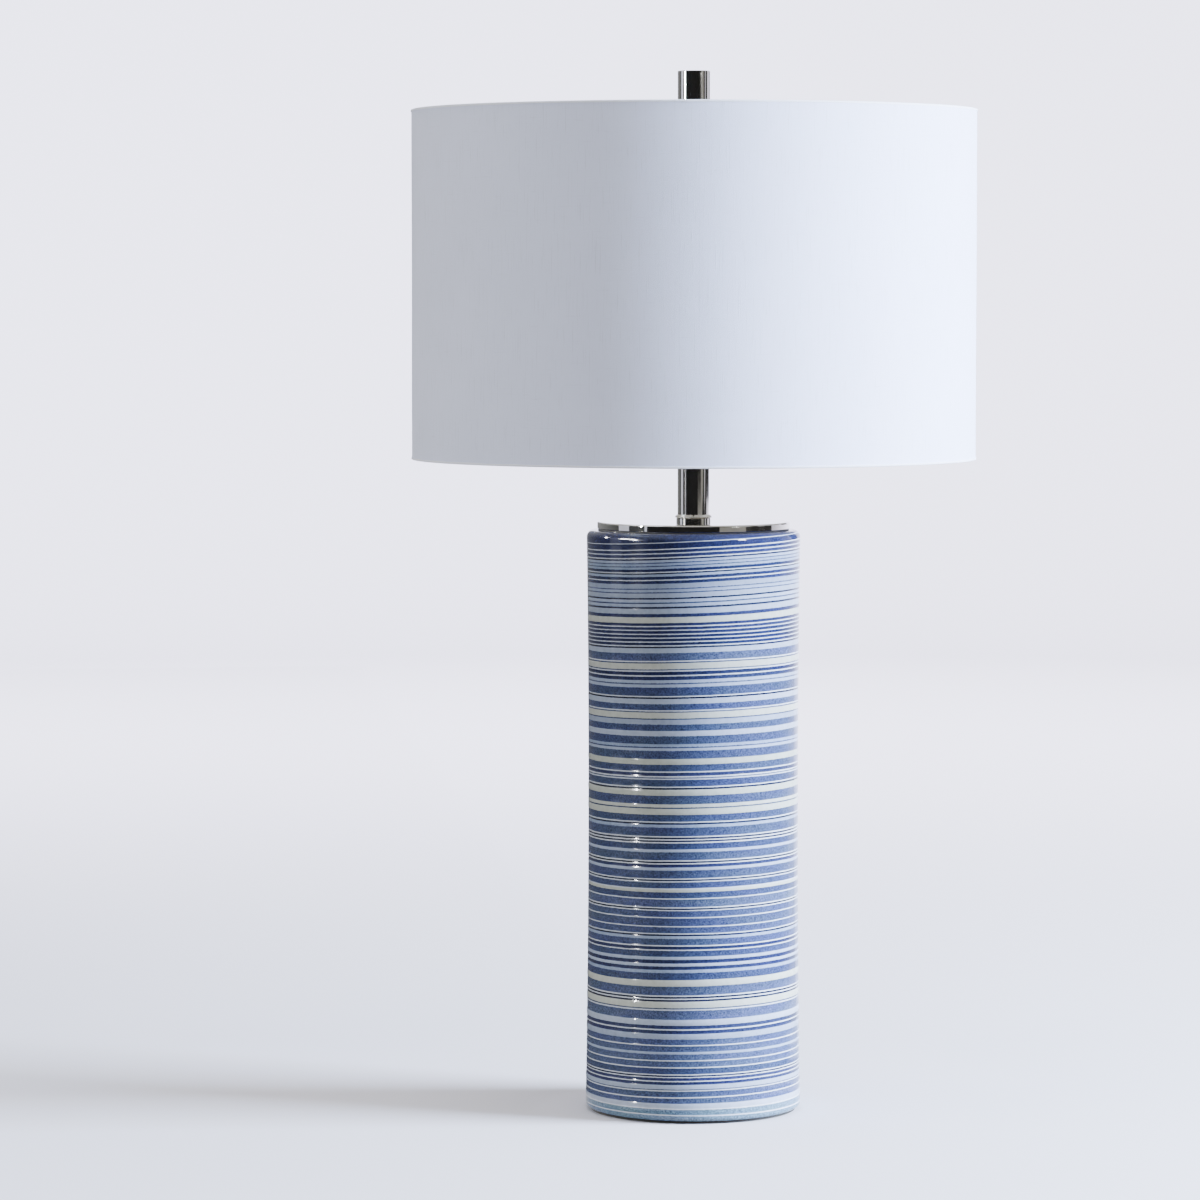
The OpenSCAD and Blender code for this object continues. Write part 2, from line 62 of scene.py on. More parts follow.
# ---------------------------------------------------------------- mesh helpers
def add_object(name, mesh, smooth_angle=35):
    """Links a mesh as an object, smooth apart from the edges sharper than smooth_angle."""
    obj = bpy.data.objects.new(name, mesh)
    bpy.context.scene.collection.objects.link(obj)
    mesh.polygons.foreach_set("use_smooth", [True] * len(mesh.polygons))
    mesh.set_sharp_from_angle(angle=math.radians(smooth_angle))
    return obj


def sweep_mesh(name, points, v_values, closed=True, smooth_angle=35):
    """A mesh from an array [row][column][xyz] whose columns wrap round; closed joins the last row
    to the first. UV x is the share of the turn and UV y is v_values, one number to a row."""
    rows, cols = points.shape[:2]
    last = rows if closed else rows - 1
    faces, uvs = [], []
    v_next = list(v_values[1:]) + [v_values[0]]
    for i in range(last):
        below, above = i * cols, ((i + 1) % rows) * cols
        for j in range(cols):
            k = (j + 1) % cols
            faces.append((below + j, below + k, above + k, above + j))
            uvs += [j / cols, v_values[i], (j + 1) / cols, v_values[i],
                    (j + 1) / cols, v_next[i], j / cols, v_next[i]]
    mesh = bpy.data.meshes.new(name)
    mesh.from_pydata(points.reshape(-1, 3).tolist(), [], faces)
    layer = mesh.uv_layers.new(name="turn")
    layer.data.foreach_set("uv", uvs)
    return add_object(name, mesh, smooth_angle)


def revolve(name, outline, steps=160, closed=True, smooth_angle=35):
    """Turns an outline of (radius, height) in millimetres, drawn counter-clockwise, about Z."""
    outline = np.array(outline, float) * MM
    angles = np.arange(steps) / steps * 2 * math.pi - math.pi / 2
    ring = np.stack([np.cos(angles), np.sin(angles)], 1)
    points = np.zeros((len(outline), steps, 3))
    points[:, :, :2] = outline[:, None, :1] * ring[None]
    points[:, :, 2] = outline[:, 1:]
    return sweep_mesh(name, points, outline[:, 1].tolist(), closed, smooth_angle)


def weld(obj):
    """Joins the points that meet on the axis, so that a turned piece closes there."""
    bm = bmesh.new()
    bm.from_mesh(obj.data)
    bmesh.ops.remove_doubles(bm, verts=bm.verts, dist=1e-6)
    bm.to_mesh(obj.data)
    bm.free()
    return obj


def rounded(corners, steps=5):
    """An outline from corners (radius, height, fillet): each corner with a fillet is rounded."""
    out = []
    count = len(corners)
    for i, (x, z, fillet) in enumerate(corners):
        here = Vector((x, z))
        if fillet <= 0:
            out.append((x, z))
            continue
        a = (Vector(corners[i - 1][:2]) - here).normalized()
        b = (Vector(corners[(i + 1) % count][:2]) - here).normalized()
        half = math.acos(max(-1, min(1, a.dot(b)))) / 2
        reach = fillet / math.tan(half)
        centre = here + (a + b).normalized() * (fillet / math.sin(half))
        start, end = here + a * reach, here + b * reach
        a0 = math.atan2(start.y - centre.y, start.x - centre.x)
        a1 = math.atan2(end.y - centre.y, end.x - centre.x)
        turn = (a1 - a0 + math.pi) % (2 * math.pi) - math.pi
        for k in range(steps + 1):
            t = a0 + turn * k / steps
            out.append((centre.x + fillet * math.cos(t), centre.y + fillet * math.sin(t)))
    return out


def wobble(angle, height, seed):
    """A smooth seeded value near -1 to 1 over the turn and the height (in metres)."""
    rng = random.Random(seed)
    total = 0
    for k in range(4):
        turns = rng.randint(1, 5)
        rise = rng.uniform(20, 90)
        total = total + math.pow(0.8, k) * np.sin(
            turns * angle + rise * height + rng.uniform(0, 2 * math.pi))
    return total / 2.4


# ---------------------------------------------------------------- shader helpers
class Shader:
    """A Principled material and short calls that add the nodes it needs."""

    def __init__(self, name, **values):
        self.material = bpy.data.materials.new(name)
        self.material.use_nodes = True
        self.tree = self.material.node_tree
        self.bsdf = self.tree.nodes["Principled BSDF"]
        for key, value in values.items():
            socket = self.bsdf.inputs[key.replace("_", " ")]
            socket.default_value = (*value, 1) if isinstance(value, tuple) else value

    def node(self, kind, **settings):
        n = self.tree.nodes.new(kind)
        for key, value in settings.items():
            setattr(n, key, value)
        return n

    def put(self, socket, value):
        if isinstance(value, bpy.types.NodeSocket):
            self.tree.links.new(value, socket)
        elif isinstance(value, tuple) and len(value) == 3 and socket.type == "RGBA":
            socket.default_value = (*value, 1)
        else:
            socket.default_value = value

    def to_bsdf(self, name, value):
        self.put(self.bsdf.inputs[name], value)

    def position(self, scale=(1, 1, 1)):
        """The object's own coordinates in metres, scaled."""
        coords = self.node("ShaderNodeTexCoord").outputs["Object"]
        if scale == (1, 1, 1):
            return coords
        mapping = self.node("ShaderNodeMapping")
        self.put(mapping.inputs["Vector"], coords)
        mapping.inputs["Scale"].default_value = scale
        return mapping.outputs["Vector"]

    def noise(self, scale, detail=2, roughness=0.5, vector=None, distortion=0):
        n = self.node("ShaderNodeTexNoise")
        self.put(n.inputs["Vector"], vector or self.position())
        n.inputs["Scale"].default_value = scale
        n.inputs["Detail"].default_value = detail
        n.inputs["Roughness"].default_value = roughness
        n.inputs["Distortion"].default_value = distortion
        return n.outputs["Fac"]

    def math(self, operation, a, b=0.0):
        n = self.node("ShaderNodeMath", operation=operation)
        self.put(n.inputs[0], a)
        self.put(n.inputs[1], b)
        return n.outputs[0]

    def remap(self, value, low, high, new_low=0.0, new_high=1.0):
        n = self.node("ShaderNodeMapRange")
        for socket, v in zip(n.inputs, (value, low, high, new_low, new_high)):
            self.put(socket, v)
        return n.outputs["Result"]

    def mix(self, factor, a, b, blend="MIX"):
        n = self.node("ShaderNodeMix", data_type="RGBA", blend_type=blend)
        self.put(n.inputs["Factor"], factor)
        self.put(n.inputs["A"], a)
        self.put(n.inputs["B"], b)
        return next(s for s in n.outputs if s.type == "RGBA")

    def ramp(self, factor, stops):
        n = self.node("ShaderNodeValToRGB")
        self.put(n.inputs["Fac"], factor)
        elements = n.color_ramp.elements
        while len(elements) < len(stops):
            elements.new(0.5)
        for element, (place, colour) in zip(elements, stops):
            element.position = place
            element.color = (*colour, 1)
        return n.outputs["Color"]

    def bump(self, height, strength, distance):
        n = self.node("ShaderNodeBump")
        n.inputs["Strength"].default_value = strength
        n.inputs["Distance"].default_value = distance
        self.put(n.inputs["Height"], height)
        return n.outputs["Normal"]


def srgb(r, g, b):
    """A linear colour from 0 to 255 screen values."""
    return tuple((v / 255 / 12.92) if v <= 10 else ((v / 255 + 0.055) / 1.055) ** 2.4
                 for v in (r, g, b))


def finish_with(obj, slot_name, body):
    """Gives a new piece the material of its slot and the body it rides on."""
    obj.data.materials.append(materials[slot_name])
    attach(obj, body)
    return obj


# ---------------------------------------------------------------- painted rings
# The brush strokes from the top down, in groups that each fill a height in millimetres. Letters
# are strokes: D is deep indigo, darker than B: the top strokes' real deep blue, deepened as painted
# shade from the lampshade above the shoulder, B M b d are blue from broad to a dark hairline, h is
# a faint hairline, P p w are pale from broad to a white line, C c are cream, T is the thin teal
# glaze at the foot.
STROKES = {"D": 6.0, "B": 5.9, "M": 4.6, "b": 2.4, "d": 1.3, "h": 0.9, "P": 3.7, "p": 2.0,
           "w": 0.8, "C": 4.1, "c": 2.1, "T": 4.0}
RING_GROUPS = [
    (436, 415.4, "D"), (415.4, 410.9, "wD"), (410.9, 403, "wbwbwd"), (403, 393, "phphpbwd"),
    (393, 375, "pbwbPhphPd"), (375, 358, "phpdPbC"), (358, 342, "bwbwbwbwbwb"),
    (342, 331, "wdPB"), (331, 306, "whChwbwbphpB"), (306, 281, "wdPMwhChPM"),
    (281, 261, "PBphpB"), (261, 235, "CMwbwhwMwdC"), (235, 206, "BchCMwdpB"),
    (206, 176, "wdwdwMpBwdwbpB"), (176, 142, "wdwMwcMwBwdwMwB"), (142, 120, "wMwdpMwbwM"),
    (120, 92.5, "pbpbpMCB"), (92.5, 61, "wdwdChwBPbwbP"), (61, 36, "MwMpMwMwM"),
    (36, 15, "wdwbwbPhwMwM"), (15, 2, "PwTwT"),
]


def paint_rings():
    """Every stroke as [low, high, letter, shade], from the foot up; shade is a seeded -1 to 1."""
    rng = random.Random(41)
    strokes = []
    for top, bottom, letters in RING_GROUPS:
        widths = [STROKES[c] * rng.uniform(0.95, 1.05) for c in letters]
        scale = (top - bottom) / sum(widths)
        z = top
        for letter, width in zip(letters, widths):
            strokes.append([z - width * scale, z, letter, rng.uniform(-1, 1)])
            z -= width * scale
    return strokes[::-1]


RINGS = paint_rings()

# ---------------------------------------------------------------- shade's size in millimetres
SHADE_LOW, SHADE_TOP = 471.0, 721.4
COVER_R, COVER_T = 202.7, 0.8

# ---------------------------------------------------------------- glazed column
COLUMN_TOP, COLUMN_FOOT, SHOULDER, FOOT = 420, 2, 5, 3
TOP_R, WAIST_R, FOOT_R, WAIST_Z = 77.0, 75.75, 77.75, 230
BORE_R, SEAT_R, SEAT_TOP, SLAB, ROD_HOLE = 70, 72.3, 14, 8, 7
INLET_R, INLET_Z = 6.2, 26
TILT_HEIGHTS, TILTS = [250, 340, 417], [0.022, 0.031, 0.05]
RELIEF_HEIGHTS, RELIEFS = [255, 285], [2.0, 0.35]


def column_radius(z):
    """The column's side in millimetres: a slight waist, a round shoulder and a small round foot."""
    z = np.asarray(z, float)
    top_end, foot_end = COLUMN_TOP - SHOULDER, COLUMN_FOOT + FOOT
    upper = (TOP_R - WAIST_R) / (top_end - WAIST_Z) ** 2
    lower = (FOOT_R - WAIST_R) / (foot_end - WAIST_Z) ** 2
    return WAIST_R + np.where(z > WAIST_Z, upper, lower) * (z - WAIST_Z) ** 2


def glaze_relief():
    """Height of the glaze against the painted coordinate: pale strokes stand a little proud."""
    high = {"P": 0.09, "p": 0.08, "w": 0.07, "C": 0.1, "c": 0.09, "h": 0.05, "d": -0.05,
            "b": -0.04, "M": -0.02, "B": 0.0, "D": 0.0, "T": 0.0}
    places, heights = [], []
    for low, top, letter, shade in RINGS:
        width = top - low
        edge = min(0.3, width * 0.3)
        level = high[letter] + 0.02 * shade
        crown = 0.05 if width > 3 else 0.0
        places += [low + edge, (low + top) / 2, top - edge]
        heights += [level, level + crown, level]
    return np.array(places), np.array(heights)


def make_column():
    places, heights = glaze_relief()
    steps = 160
    angles = np.arange(steps) / steps * 2 * math.pi - math.pi / 2
    side_top = COLUMN_TOP - SHOULDER
    side_foot = COLUMN_FOOT + FOOT
    arc_end = side_top + SHOULDER * math.pi / 2
    inner = places[(places > side_foot + 0.4) & (places < side_top - 0.3)]
    shoulder = side_top + SHOULDER * np.linspace(0, math.pi / 2, 22)
    v = np.concatenate([[side_foot], inner, shoulder])
    relief = (np.interp(v, places, heights) * np.interp(v, RELIEF_HEIGHTS, RELIEFS))[:, None]
    # The rings lie a little askew: each row is lifted along the profile, up one side of the turn
    lift = (np.interp(v, TILT_HEIGHTS, TILTS)[:, None] * TOP_R * np.cos(angles)[None]
            + 0.22 * wobble(angles[None], v[:, None] * MM, 7))
    lift *= np.clip(np.minimum((v - side_foot) / 14, (arc_end - v) / 6.2), 0, 1)[:, None]
    along = v[:, None] + lift
    turn = np.clip((along - side_top) / SHOULDER, 0, math.pi / 2)
    z = np.minimum(along, side_top)
    radius = (column_radius(z) - SHOULDER + SHOULDER * np.cos(turn)
              + relief * np.where(turn > 0, 0.5 * np.cos(turn), 0.8))
    z = z + SHOULDER * np.sin(turn)
    # From the inside of the foot, down and round it, then the outside, then over the top and back
    foot_turn = np.linspace(-math.pi / 2, 0, 7)[:-1]
    foot = [(FOOT_R - FOOT + FOOT * math.cos(t), side_foot + FOOT * math.sin(t)) for t in foot_turn]
    before = [(BORE_R, SEAT_TOP), (SEAT_R, SEAT_TOP), (SEAT_R, COLUMN_FOOT)] + foot
    after = [(ROD_HOLE, COLUMN_TOP), (ROD_HOLE, COLUMN_TOP - SLAB), (BORE_R, COLUMN_TOP - SLAB)]

    def flat(rows):
        return np.array([[p[0]] * steps for p in rows]), np.array([[p[1]] * steps for p in rows])

    r0, z0 = flat(before)
    r1, z1 = flat(after)
    radius = np.vstack([r0, radius, r1])
    z = np.vstack([z0, z, z1])
    points = np.stack([radius * np.cos(angles), radius * np.sin(angles), z], 2) * MM
    v_foot = [0.002 + 0.003 * k / len(foot) for k in range(len(foot))]
    v_all = [0.0] * 3 + v_foot + (v * MM).tolist() + [0.45] * len(after)
    column = sweep_mesh("glazed_column", points, v_all, True, 40)
    # The inlet hole for the cord's bushing, at the back
    cutter = bpy.data.objects.new("inlet_cutter", bpy.data.meshes.new("inlet_cutter"))
    bpy.context.scene.collection.objects.link(cutter)
    bm = bmesh.new()
    bmesh.ops.create_cone(bm, cap_ends=True, segments=64, radius1=INLET_R * MM,
                          radius2=INLET_R * MM, depth=30 * MM)
    bmesh.ops.rotate(bm, verts=bm.verts, matrix=Matrix.Rotation(math.pi / 2, 3, "X"))
    bmesh.ops.translate(bm, verts=bm.verts, vec=(0, 76 * MM, INLET_Z * MM))
    bm.to_mesh(cutter.data)
    bm.free()
    cut = column.modifiers.new("inlet", "BOOLEAN")
    cut.operation = "DIFFERENCE"
    cut.object = cutter
    cut.solver = "EXACT"
    depsgraph = bpy.context.evaluated_depsgraph_get()
    holed = bpy.data.meshes.new_from_object(column.evaluated_get(depsgraph))
    column.modifiers.clear()
    column.data = holed
    bpy.data.objects.remove(cutter)
    return column


# ---------------------------------------------------------------- materials
def glaze():
    """Glossy painted rings: the strokes' colours run in ramps over the painted coordinate."""
    s = Shader("glaze", IOR=1.5)
    uv = s.node("ShaderNodeUVMap", uv_map="turn").outputs["UV"]
    split = s.node("ShaderNodeSeparateXYZ")
    s.put(split.inputs[0], uv)
    uv_height = split.outputs["Y"]
    ragged = s.math("MULTIPLY", s.math("SUBTRACT", s.noise(900, 3, 0.65), 0.5), 0.0005)
    slow = s.math("MULTIPLY", s.math("SUBTRACT", s.noise(55, 2, 0.5), 0.5), 0.0003)
    height = s.math("ADD", uv_height, s.math("ADD", ragged, slow))
    palette = {
        # D is B darkened: real deep blue plus painted shade from the lampshade on the shoulder
        "D": (srgb(44, 50, 86), srgb(36, 42, 76)),
        "B": (srgb(72, 82, 114), srgb(58, 68, 100)),
        "M": (srgb(68, 79, 112), srgb(53, 63, 96)),
        "b": (srgb(48, 54, 88), srgb(36, 42, 74)),
        "d": (srgb(36, 39, 62), srgb(26, 29, 50)),
        "h": (srgb(78, 86, 112), srgb(54, 62, 92)),
        "P": (srgb(143, 157, 185), srgb(165, 178, 204)),
        "p": (srgb(137, 154, 187), srgb(162, 176, 206)),
        "w": (srgb(191, 202, 223), srgb(207, 216, 233)),
        "C": (srgb(176, 184, 180), srgb(190, 196, 194)),
        "c": (srgb(176, 184, 182), srgb(190, 196, 194)),
        "T": (srgb(80, 104, 128), srgb(88, 112, 136)),
    }
    colour = None
    chunk = 15
    for start in range(0, len(RINGS), chunk):
        part = RINGS[start:start + chunk]
        low, top = part[0][0] * MM, part[-1][1] * MM
        stops = []
        for z0, z1, letter, shade in part:
            a, b = palette[letter]
            t = shade * 0.5 + 0.5
            tone = tuple(x + (y - x) * t for x, y in zip(a, b))
            soft = min(0.12, (z1 - z0) * 0.18) * MM
            for z in (z0 * MM + soft, z1 * MM - soft):
                stops.append(((z - low) / (top - low), tone))
        here = s.ramp(s.remap(height, low, top), stops)
        colour = here if colour is None else s.mix(
            s.math("GREATER_THAN", height, low), colour, here)
    # Where it is blue the pigment is grainy and drifts between indigo and slate
    value = s.node("ShaderNodeSeparateColor")
    s.put(value.inputs[0], colour)
    blue = s.remap(value.outputs["Red"], 0.10, 0.30, 1.0, 0.0)
    drift = s.remap(s.noise(16, 3, 0.6, s.position((1, 1, 5))), 0.35, 0.65)
    tint = s.mix(drift, (0.92, 0.90, 1.12), (1.0, 1.10, 0.98))
    tinted = s.mix(s.math("MULTIPLY", blue, 0.8), colour, s.mix(1.0, colour, tint, "MULTIPLY"))
    grain = s.remap(s.noise(900, 3, 0.85), 0.35, 0.65, 0.3, 1.9)
    grained = s.mix(s.math("MULTIPLY", blue, 0.85), tinted, s.mix(1.0, tinted, grain, "MULTIPLY"))
    pool = s.remap(s.noise(240, 3, 0.6), 0.35, 0.65, 0.93, 1.06)
    # Painted light: paler and brighter at the foot where light bounced off the floor would fall,
    # deeper at the top in the lampshade's shade
    painted_bounce_and_shade = s.remap(uv_height, 0.02, 0.42, 1.12, 0.70)
    final = s.mix(1.0, s.mix(1.0, grained, pool, "MULTIPLY"), painted_bounce_and_shade, "MULTIPLY")
    # Inside and under the foot it is bare clay
    bare = s.math("LESS_THAN", uv_height, 0.0015)
    s.to_bsdf("Base Color", s.mix(bare, final, srgb(176, 164, 146)))
    gloss = s.remap(s.noise(70, 3), 0.3, 0.7, 0.06, 0.14)
    s.to_bsdf("Roughness", s.mix(bare, gloss, (0.8, 0.8, 0.8)))
    orange_peel = s.noise(260, 2, 0.5)
    s.to_bsdf("Normal", s.bump(orange_peel, 0.12, 0.0004))
    return s.material


def metal(name, colour, roughness, scratch, stretch=(1, 1, 1)):
    """A plated or rolled metal with fine marks and a slow change of tone."""
    s = Shader(name, Metallic=1.0)
    lines = s.noise(900, 4, 0.7, s.position(stretch))
    cloud = s.noise(35, 3, 0.55)
    tone = s.remap(cloud, 0.3, 0.7, 0.93, 1.05)
    s.to_bsdf("Base Color", s.mix(1.0, colour, tone, "MULTIPLY"))
    rough = s.math("ADD", s.remap(cloud, 0.3, 0.7, roughness * 0.75, roughness * 1.3),
                   s.math("MULTIPLY", lines, scratch))
    s.to_bsdf("Roughness", rough)
    s.to_bsdf("Normal", s.bump(lines, 0.02, 0.00005))
    return s.material


def plastic(name, colour, roughness, grain=1200, depth=0.00008):
    """A moulded or painted surface with a fine grain."""
    s = Shader(name)
    cloud = s.noise(60, 3, 0.5)
    s.to_bsdf("Base Color", s.mix(1.0, colour, s.remap(cloud, 0.3, 0.7, 0.94, 1.04), "MULTIPLY"))
    s.to_bsdf("Roughness", s.remap(s.noise(160, 2), 0.3, 0.7, roughness * 0.88, roughness * 1.12))
    s.to_bsdf("Normal", s.bump(s.noise(grain, 2), 0.25, depth))
    return s.material


def woven(name, colour, thread, slub):
    """Plain weave from the turn and height: warp and weft with slubs that run with the threads.
    thread is the distance from one thread to the next in metres."""
    s = Shader(name, Sheen_Weight=0.25, Sheen_Roughness=0.5, Specular_IOR_Level=0.25)
    split = s.node("ShaderNodeSeparateXYZ")
    s.put(split.inputs[0], s.node("ShaderNodeUVMap", uv_map="turn").outputs["UV"])
    girth = 2 * math.pi * COVER_R * MM
    along = s.math("MULTIPLY", split.outputs["X"], girth)
    up = split.outputs["Y"]
    cloth = s.node("ShaderNodeCombineXYZ")
    s.put(cloth.inputs[0], along)
    s.put(cloth.inputs[1], up)

    def stretched(x, y, scale, detail=3, rough=0.6):
        m = s.node("ShaderNodeMapping")
        s.put(m.inputs["Vector"], cloth.outputs[0])
        m.inputs["Scale"].default_value = (x, y, 1)
        return s.noise(scale, detail, rough, m.outputs["Vector"])

    drift_x = s.math("MULTIPLY", s.math("SUBTRACT", stretched(1, 0.12, 160), 0.5), thread * 0.9)
    drift_y = s.math("MULTIPLY", s.math("SUBTRACT", stretched(0.12, 1, 160), 0.5), thread * 0.9)
    turns = 2 * math.pi / thread
    warp = s.math("SINE", s.math("MULTIPLY", s.math("ADD", along, drift_x), turns))
    weft = s.math("SINE", s.math("MULTIPLY", s.math("ADD", up, drift_y), turns * 0.92))
    weave = s.math("ADD", s.math("MULTIPLY", s.math("MULTIPLY", warp, weft), 0.35),
                   s.math("MULTIPLY", s.math("ADD", s.math("ABSOLUTE", warp),
                                             s.math("ABSOLUTE", weft)), 0.3))
    warp_slub = stretched(1, 0.035, 900, 3, 0.7)
    weft_slub = stretched(0.05, 1, 700, 3, 0.7)
    slubs = s.math("ADD", s.remap(warp_slub, 0.56, 0.76), s.math(
        "MULTIPLY", s.remap(weft_slub, 0.60, 0.8), 0.6))
    shade = s.math("ADD", s.remap(weave, 0.0, 0.7, 0.94, 1.015),
                   s.math("MULTIPLY", slubs, -0.17 * slub))
    patch = s.remap(stretched(1, 1, 14, 3), 0.3, 0.7, 0.975, 1.015)
    s.to_bsdf("Base Color", s.mix(1.0, s.mix(1.0, colour, shade, "MULTIPLY"), patch, "MULTIPLY"))
    s.to_bsdf("Roughness", s.remap(weave, 0.0, 0.8, 0.86, 0.74))
    height = s.math("ADD", weave, s.math("MULTIPLY", slubs, 0.9))
    s.to_bsdf("Normal", s.bump(height, 0.35, 0.00022))
    return s.material


def felt():
    s = Shader("felt", Roughness=0.96, Sheen_Weight=0.4, Specular_IOR_Level=0.1)
    fibres = s.noise(1400, 4, 0.75, distortion=1.5)
    s.to_bsdf("Base Color", s.ramp(fibres, [(0.3, srgb(22, 22, 24)), (0.7, srgb(52, 52, 56))]))
    s.to_bsdf("Normal", s.bump(fibres, 0.6, 0.0004))
    return s.material


def cast_iron():
    s = Shader("iron")
    grit = s.noise(500, 4, 0.7)
    s.to_bsdf("Base Color", s.ramp(grit, [(0.3, srgb(38, 38, 40)), (0.7, srgb(74, 74, 77))]))
    s.to_bsdf("Roughness", s.remap(grit, 0.3, 0.7, 0.55, 0.8))
    s.to_bsdf("Normal", s.bump(grit, 0.6, 0.0006))
    return s.material


def card():
    s = Shader("card", Roughness=0.9)
    fibre = s.noise(700, 4, 0.7, s.position((1, 1, 0.2)))
    s.to_bsdf("Base Color", s.ramp(fibre, [(0.3, srgb(138, 106, 74)), (0.7, srgb(178, 146, 108))]))
    s.to_bsdf("Normal", s.bump(fibre, 0.4, 0.0002))
    return s.material


def circuit():
    s = Shader("circuit", Roughness=0.35)
    dots = s.node("ShaderNodeTexVoronoi", feature="F1")
    s.put(dots.inputs["Vector"], s.position())
    dots.inputs["Scale"].default_value = 260
    pad = s.math("LESS_THAN", dots.outputs["Distance"], 0.16)
    s.to_bsdf("Base Color", s.mix(pad, srgb(236, 234, 226), srgb(190, 182, 150)))
    s.to_bsdf("Normal", s.bump(s.noise(900, 2), 0.2, 0.0001))
    return s.material


def frosted():
    s = Shader("diffuser", Roughness=0.42, Subsurface_Weight=0.35, Subsurface_Scale=0.004,
               Coat_Weight=0.1)
    s.bsdf.inputs["Subsurface Radius"].default_value = (1, 0.95, 0.85)
    s.to_bsdf("Base Color", s.mix(1.0, srgb(246, 245, 240), s.remap(
        s.noise(90, 3), 0.3, 0.7, 0.97, 1.02), "MULTIPLY"))
    s.to_bsdf("Normal", s.bump(s.noise(1600, 2), 0.2, 0.00006))
    return s.material


materials = {
    "glaze": glaze(),
    "nickel": metal("nickel", (0.75, 0.73, 0.69), 0.045, 0.015),
    "satin_nickel": metal("satin_nickel", (0.70, 0.68, 0.64), 0.24, 0.10, (1, 1, 0.15)),
    "steel": metal("steel", (0.60, 0.60, 0.60), 0.34, 0.12, (1, 1, 0.3)),
    "brass": metal("brass", (0.74, 0.55, 0.26), 0.26, 0.10),
    "bulb_metal": metal("bulb_metal", (0.83, 0.83, 0.82), 0.22, 0.10, (0.3, 0.3, 1)),
    "iron": cast_iron(),
    "felt": felt(),
    "gasket": plastic("gasket", srgb(26, 26, 27), 0.8),
    "black_plastic": plastic("black_plastic", srgb(30, 30, 31), 0.4),
    "phenolic": plastic("phenolic", srgb(44, 34, 30), 0.45),
    "bulb_black": plastic("bulb_black", srgb(22, 22, 26), 0.2),
    "bulb_white": plastic("bulb_white", srgb(240, 239, 234), 0.38),
    "washer_plastic": plastic("washer_plastic", srgb(226, 222, 212), 0.5),
    "wire": plastic("wire", srgb(232, 232, 230), 0.38, 700, 0.0002),
    "liner": plastic("liner", srgb(238, 237, 232), 0.42, 300, 0.0002),
    "card": card(),
    "circuit": circuit(),
    "diffuser": frosted(),
    "linen": woven("linen", srgb(215, 224, 255), 0.00062, 1.0),
    "hem_tape": woven("hem_tape", srgb(230, 236, 255), 0.00050, 0.4),
}
for part in frame["record"]["subparts"]:
    node = nodes[part["node"]]
    node.data.materials.clear()
    node.data.materials.append(materials[part["material_slot"]])

# ---------------------------------------------------------------- pieces
column = make_column()
finish_with(column, "glaze", "lamp_base")
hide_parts("ceramic_column")

# Felt pad: a thin disc with a soft edge and a slightly uneven face
pad = weld(revolve("felt_disc", rounded([
    (0, 0.15, 0), (74.5, 0.0, 0.7), (74.5, 2.0, 0.4), (0, 2.0, 0)]), 128, False))
finish_with(pad, "felt", "lamp_base")
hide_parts("felt_pad")


# Linen cover: a fine sheet that leaves a perfect circle a little, with its lap at the back
def make_cover():
    steps, rows = 256, 26
    angles = np.arange(steps) / steps * 2 * math.pi - math.pi / 2
    z = np.linspace(SHADE_LOW + 0.5, SHADE_TOP - 0.5, rows)
    edge = np.sin(np.linspace(0, math.pi, rows)) ** 0.5
    swell = 0.16 * wobble(angles[None], z[:, None] * MM * 0.4, 23) * edge[:, None]
    outer = COVER_R + swell
    inner = COVER_R - COVER_T + swell
    radius = np.vstack([inner[::-1], outer])
    heights = np.concatenate([z[::-1], z])
    points = np.zeros((2 * rows, steps, 3))
    points[:, :, 0] = radius * np.cos(angles) * MM
    points[:, :, 1] = radius * np.sin(angles) * MM
    points[:, :, 2] = heights[:, None] * MM
    return sweep_mesh("linen_cover", points, (heights * MM).tolist(), True, 50)


def make_hem(name, rim, way):
    """The tape folded over a rim: way is 1 at the top rim and -1 at the bottom one."""
    painted_bounce_and_shade, inner = 0.5, 197.4
    on_cover = COVER_R + 0.02
    outside, inside, under = rim - way * 1.55, rim - way * 5.2, rim - way * 0.65
    corners = [
        (on_cover, outside, 0), (COVER_R + painted_bounce_and_shade, outside, 0.15), (COVER_R + painted_bounce_and_shade, rim, 0.75),
        (inner, rim, 1.3), (inner, inside, 0.15), (inner + painted_bounce_and_shade, inside, 0),
        (inner + painted_bounce_and_shade, under, 0), (on_cover, under, 0)]
    if way < 0:
        corners = corners[::-1]
    outline = np.array(rounded(corners), float)
    steps = 256
    angles = np.arange(steps) / steps * 2 * math.pi - math.pi / 2
    low_edge = ((np.abs(outline[:, 1] - outside) < 0.2)
                | (np.abs(outline[:, 1] - inside) < 0.2))
    uneven = 0.16 * wobble(angles * 6, 0.3 * way, 31 + way)
    z = outline[:, 1][:, None] + np.where(low_edge[:, None], uneven[None], 0)
    points = np.zeros((len(outline), steps, 3))
    points[:, :, 0] = outline[:, :1] * np.cos(angles) * MM
    points[:, :, 1] = outline[:, :1] * np.sin(angles) * MM
    points[:, :, 2] = z * MM
    return sweep_mesh(name, points, (outline[:, 1] * MM + outline[:, 0] * MM).tolist(), True, 45)


